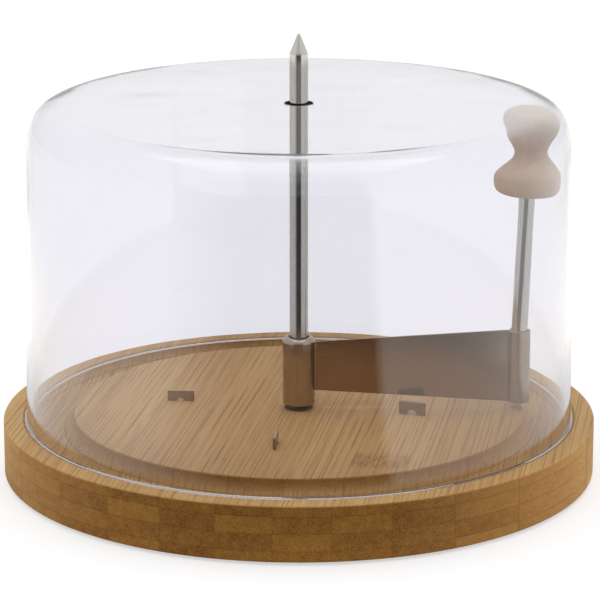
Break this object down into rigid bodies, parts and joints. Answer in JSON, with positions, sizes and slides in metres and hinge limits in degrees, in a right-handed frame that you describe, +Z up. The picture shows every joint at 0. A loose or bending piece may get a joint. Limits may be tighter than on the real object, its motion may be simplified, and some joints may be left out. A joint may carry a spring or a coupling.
{
  "type": "cheese curler with dome",
  "caption": "Round wooden board with a pointed steel pin, a scraper that turns round the pin by a wooden knob, cheese lugs and a clear cover dome.",
  "frame": {"origin": "where the pin's axis meets the surface that the feet stand on, which is the centre of the box's bottom", "axes": "+Z up along the pin, +X along the scraper from the pin to the knob at rest, -Y towards the viewer of the picture"},
  "size_m": [0.2184, 0.2184, 0.1633],
  "materials": {
    "bamboo": "oiled bamboo, end grain and long grain strips",
    "beech": "smooth turned wood",
    "steel": "polished stainless steel",
    "zinc": "zinc plated",
    "nylon": "dark satin",
    "rubber": "matte",
    "acrylic": "clear gloss"
  },
  "bodies": {
    "base": {"base_board": "bamboo", "center_pin": "steel", "pin_washer": "zinc", "pin_nut": "zinc", "cheese_lug_1": "steel", "cheese_lug_2": "steel", "cheese_lug_3": "steel", "cheese_lug_4": "steel", "foot_1": "rubber", "foot_2": "rubber", "foot_3": "rubber", "foot_4": "rubber"},
    "bush": {"hub_bush": "nylon"},
    "scraper": {"hub_sleeve": "steel", "scraper_blade": "steel", "handle_rod": "steel", "knob_washer": "zinc", "knob_screw": "zinc"},
    "knob": {"knob": "beech", "knob_plug": "beech"},
    "dome": {"dome": "acrylic"}
  },
  "joints": [
    {"name": "scraper_lift", "type": "slide", "parent": "base", "child": "bush", "axis": [0, 0, 1], "range_m": [0, 0.145]},
    {"name": "scraper_turn", "type": "hinge", "parent": "bush", "child": "scraper", "pos_m": [0, 0, 0.035], "axis": [0, 0, 1], "continuous": true},
    {"name": "knob_turn", "type": "hinge", "parent": "scraper", "child": "knob", "pos_m": [0.0815, 0, 0.0535], "axis": [0.0366, 0, 0.9993], "continuous": true},
    {"name": "dome_lift", "type": "slide", "parent": "bush", "child": "dome", "axis": [0, 0, 1], "range_m": [0, 0.15]}
  ]
}
